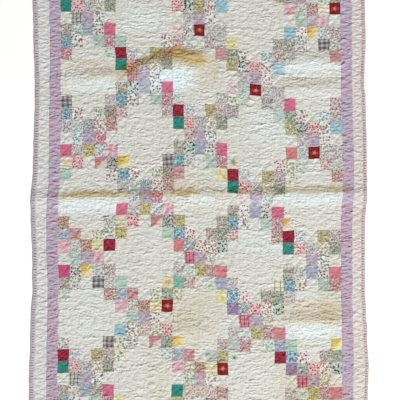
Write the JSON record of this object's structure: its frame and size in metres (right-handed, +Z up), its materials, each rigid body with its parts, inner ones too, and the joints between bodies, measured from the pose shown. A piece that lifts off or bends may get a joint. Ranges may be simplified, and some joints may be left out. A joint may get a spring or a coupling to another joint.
{
  "type": "patchwork quilt",
  "caption": "Rectangular patchwork quilt laid flat: chains of small printed squares across plain cream blocks, a lavender strip, a cream border and a narrow checked binding, with soft folds.",
  "frame": {"origin": "under the middle of the quilt's outline, on the surface it lies on", "axes": "+Z up off the surface, +Y along the quilt towards its head, +X across it to the right"},
  "size_m": [1.5306, 2.1396, 0.018],
  "materials": {
    "patchwork": "small printed and plain cotton squares in many colours, hand quilted",
    "plain_block": "washed cream cotton with printed corner squares, hand quilted",
    "lavender": "plain washed lavender cotton",
    "cream": "plain washed cream cotton",
    "binding": "rolled cotton binding in a small pink and lavender check"
  },
  "bodies": {
    "root": {"pieced_block_r1_c1": "patchwork", "plain_block_r1_c2": "plain_block", "pieced_block_r1_c3": "patchwork", "plain_block_r1_c4": "plain_block", "pieced_block_r1_c5": "patchwork", "plain_block_r2_c1": "plain_block", "pieced_block_r2_c2": "patchwork", "plain_block_r2_c3": "plain_block", "pieced_block_r2_c4": "patchwork", "plain_block_r2_c5": "plain_block", "pieced_block_r3_c1": "patchwork", "plain_block_r3_c2": "plain_block", "pieced_block_r3_c3": "patchwork", "plain_block_r3_c4": "plain_block", "pieced_block_r3_c5": "patchwork", "plain_block_r4_c1": "plain_block", "pieced_block_r4_c2": "patchwork", "plain_block_r4_c3": "plain_block", "pieced_block_r4_c4": "patchwork", "plain_block_r4_c5": "plain_block", "pieced_block_r5_c1": "patchwork", "plain_block_r5_c2": "plain_block", "pieced_block_r5_c3": "patchwork", "plain_block_r5_c4": "plain_block", "pieced_block_r5_c5": "patchwork", "plain_block_r6_c1": "plain_block", "pieced_block_r6_c2": "patchwork", "plain_block_r6_c3": "plain_block", "pieced_block_r6_c4": "patchwork", "plain_block_r6_c5": "plain_block", "pieced_block_r7_c1": "patchwork", "plain_block_r7_c2": "plain_block", "pieced_block_r7_c3": "patchwork", "plain_block_r7_c4": "plain_block", "pieced_block_r7_c5": "patchwork", "lavender_border_left": "lavender", "lavender_border_right": "lavender", "lavender_border_head": "lavender", "lavender_border_foot": "lavender", "cream_border_left": "cream", "cream_border_right": "cream", "cream_border_head": "cream", "cream_border_foot": "cream", "binding_left": "binding", "binding_right": "binding", "binding_head": "binding", "binding_foot": "binding"}
  },
  "joints": []
}
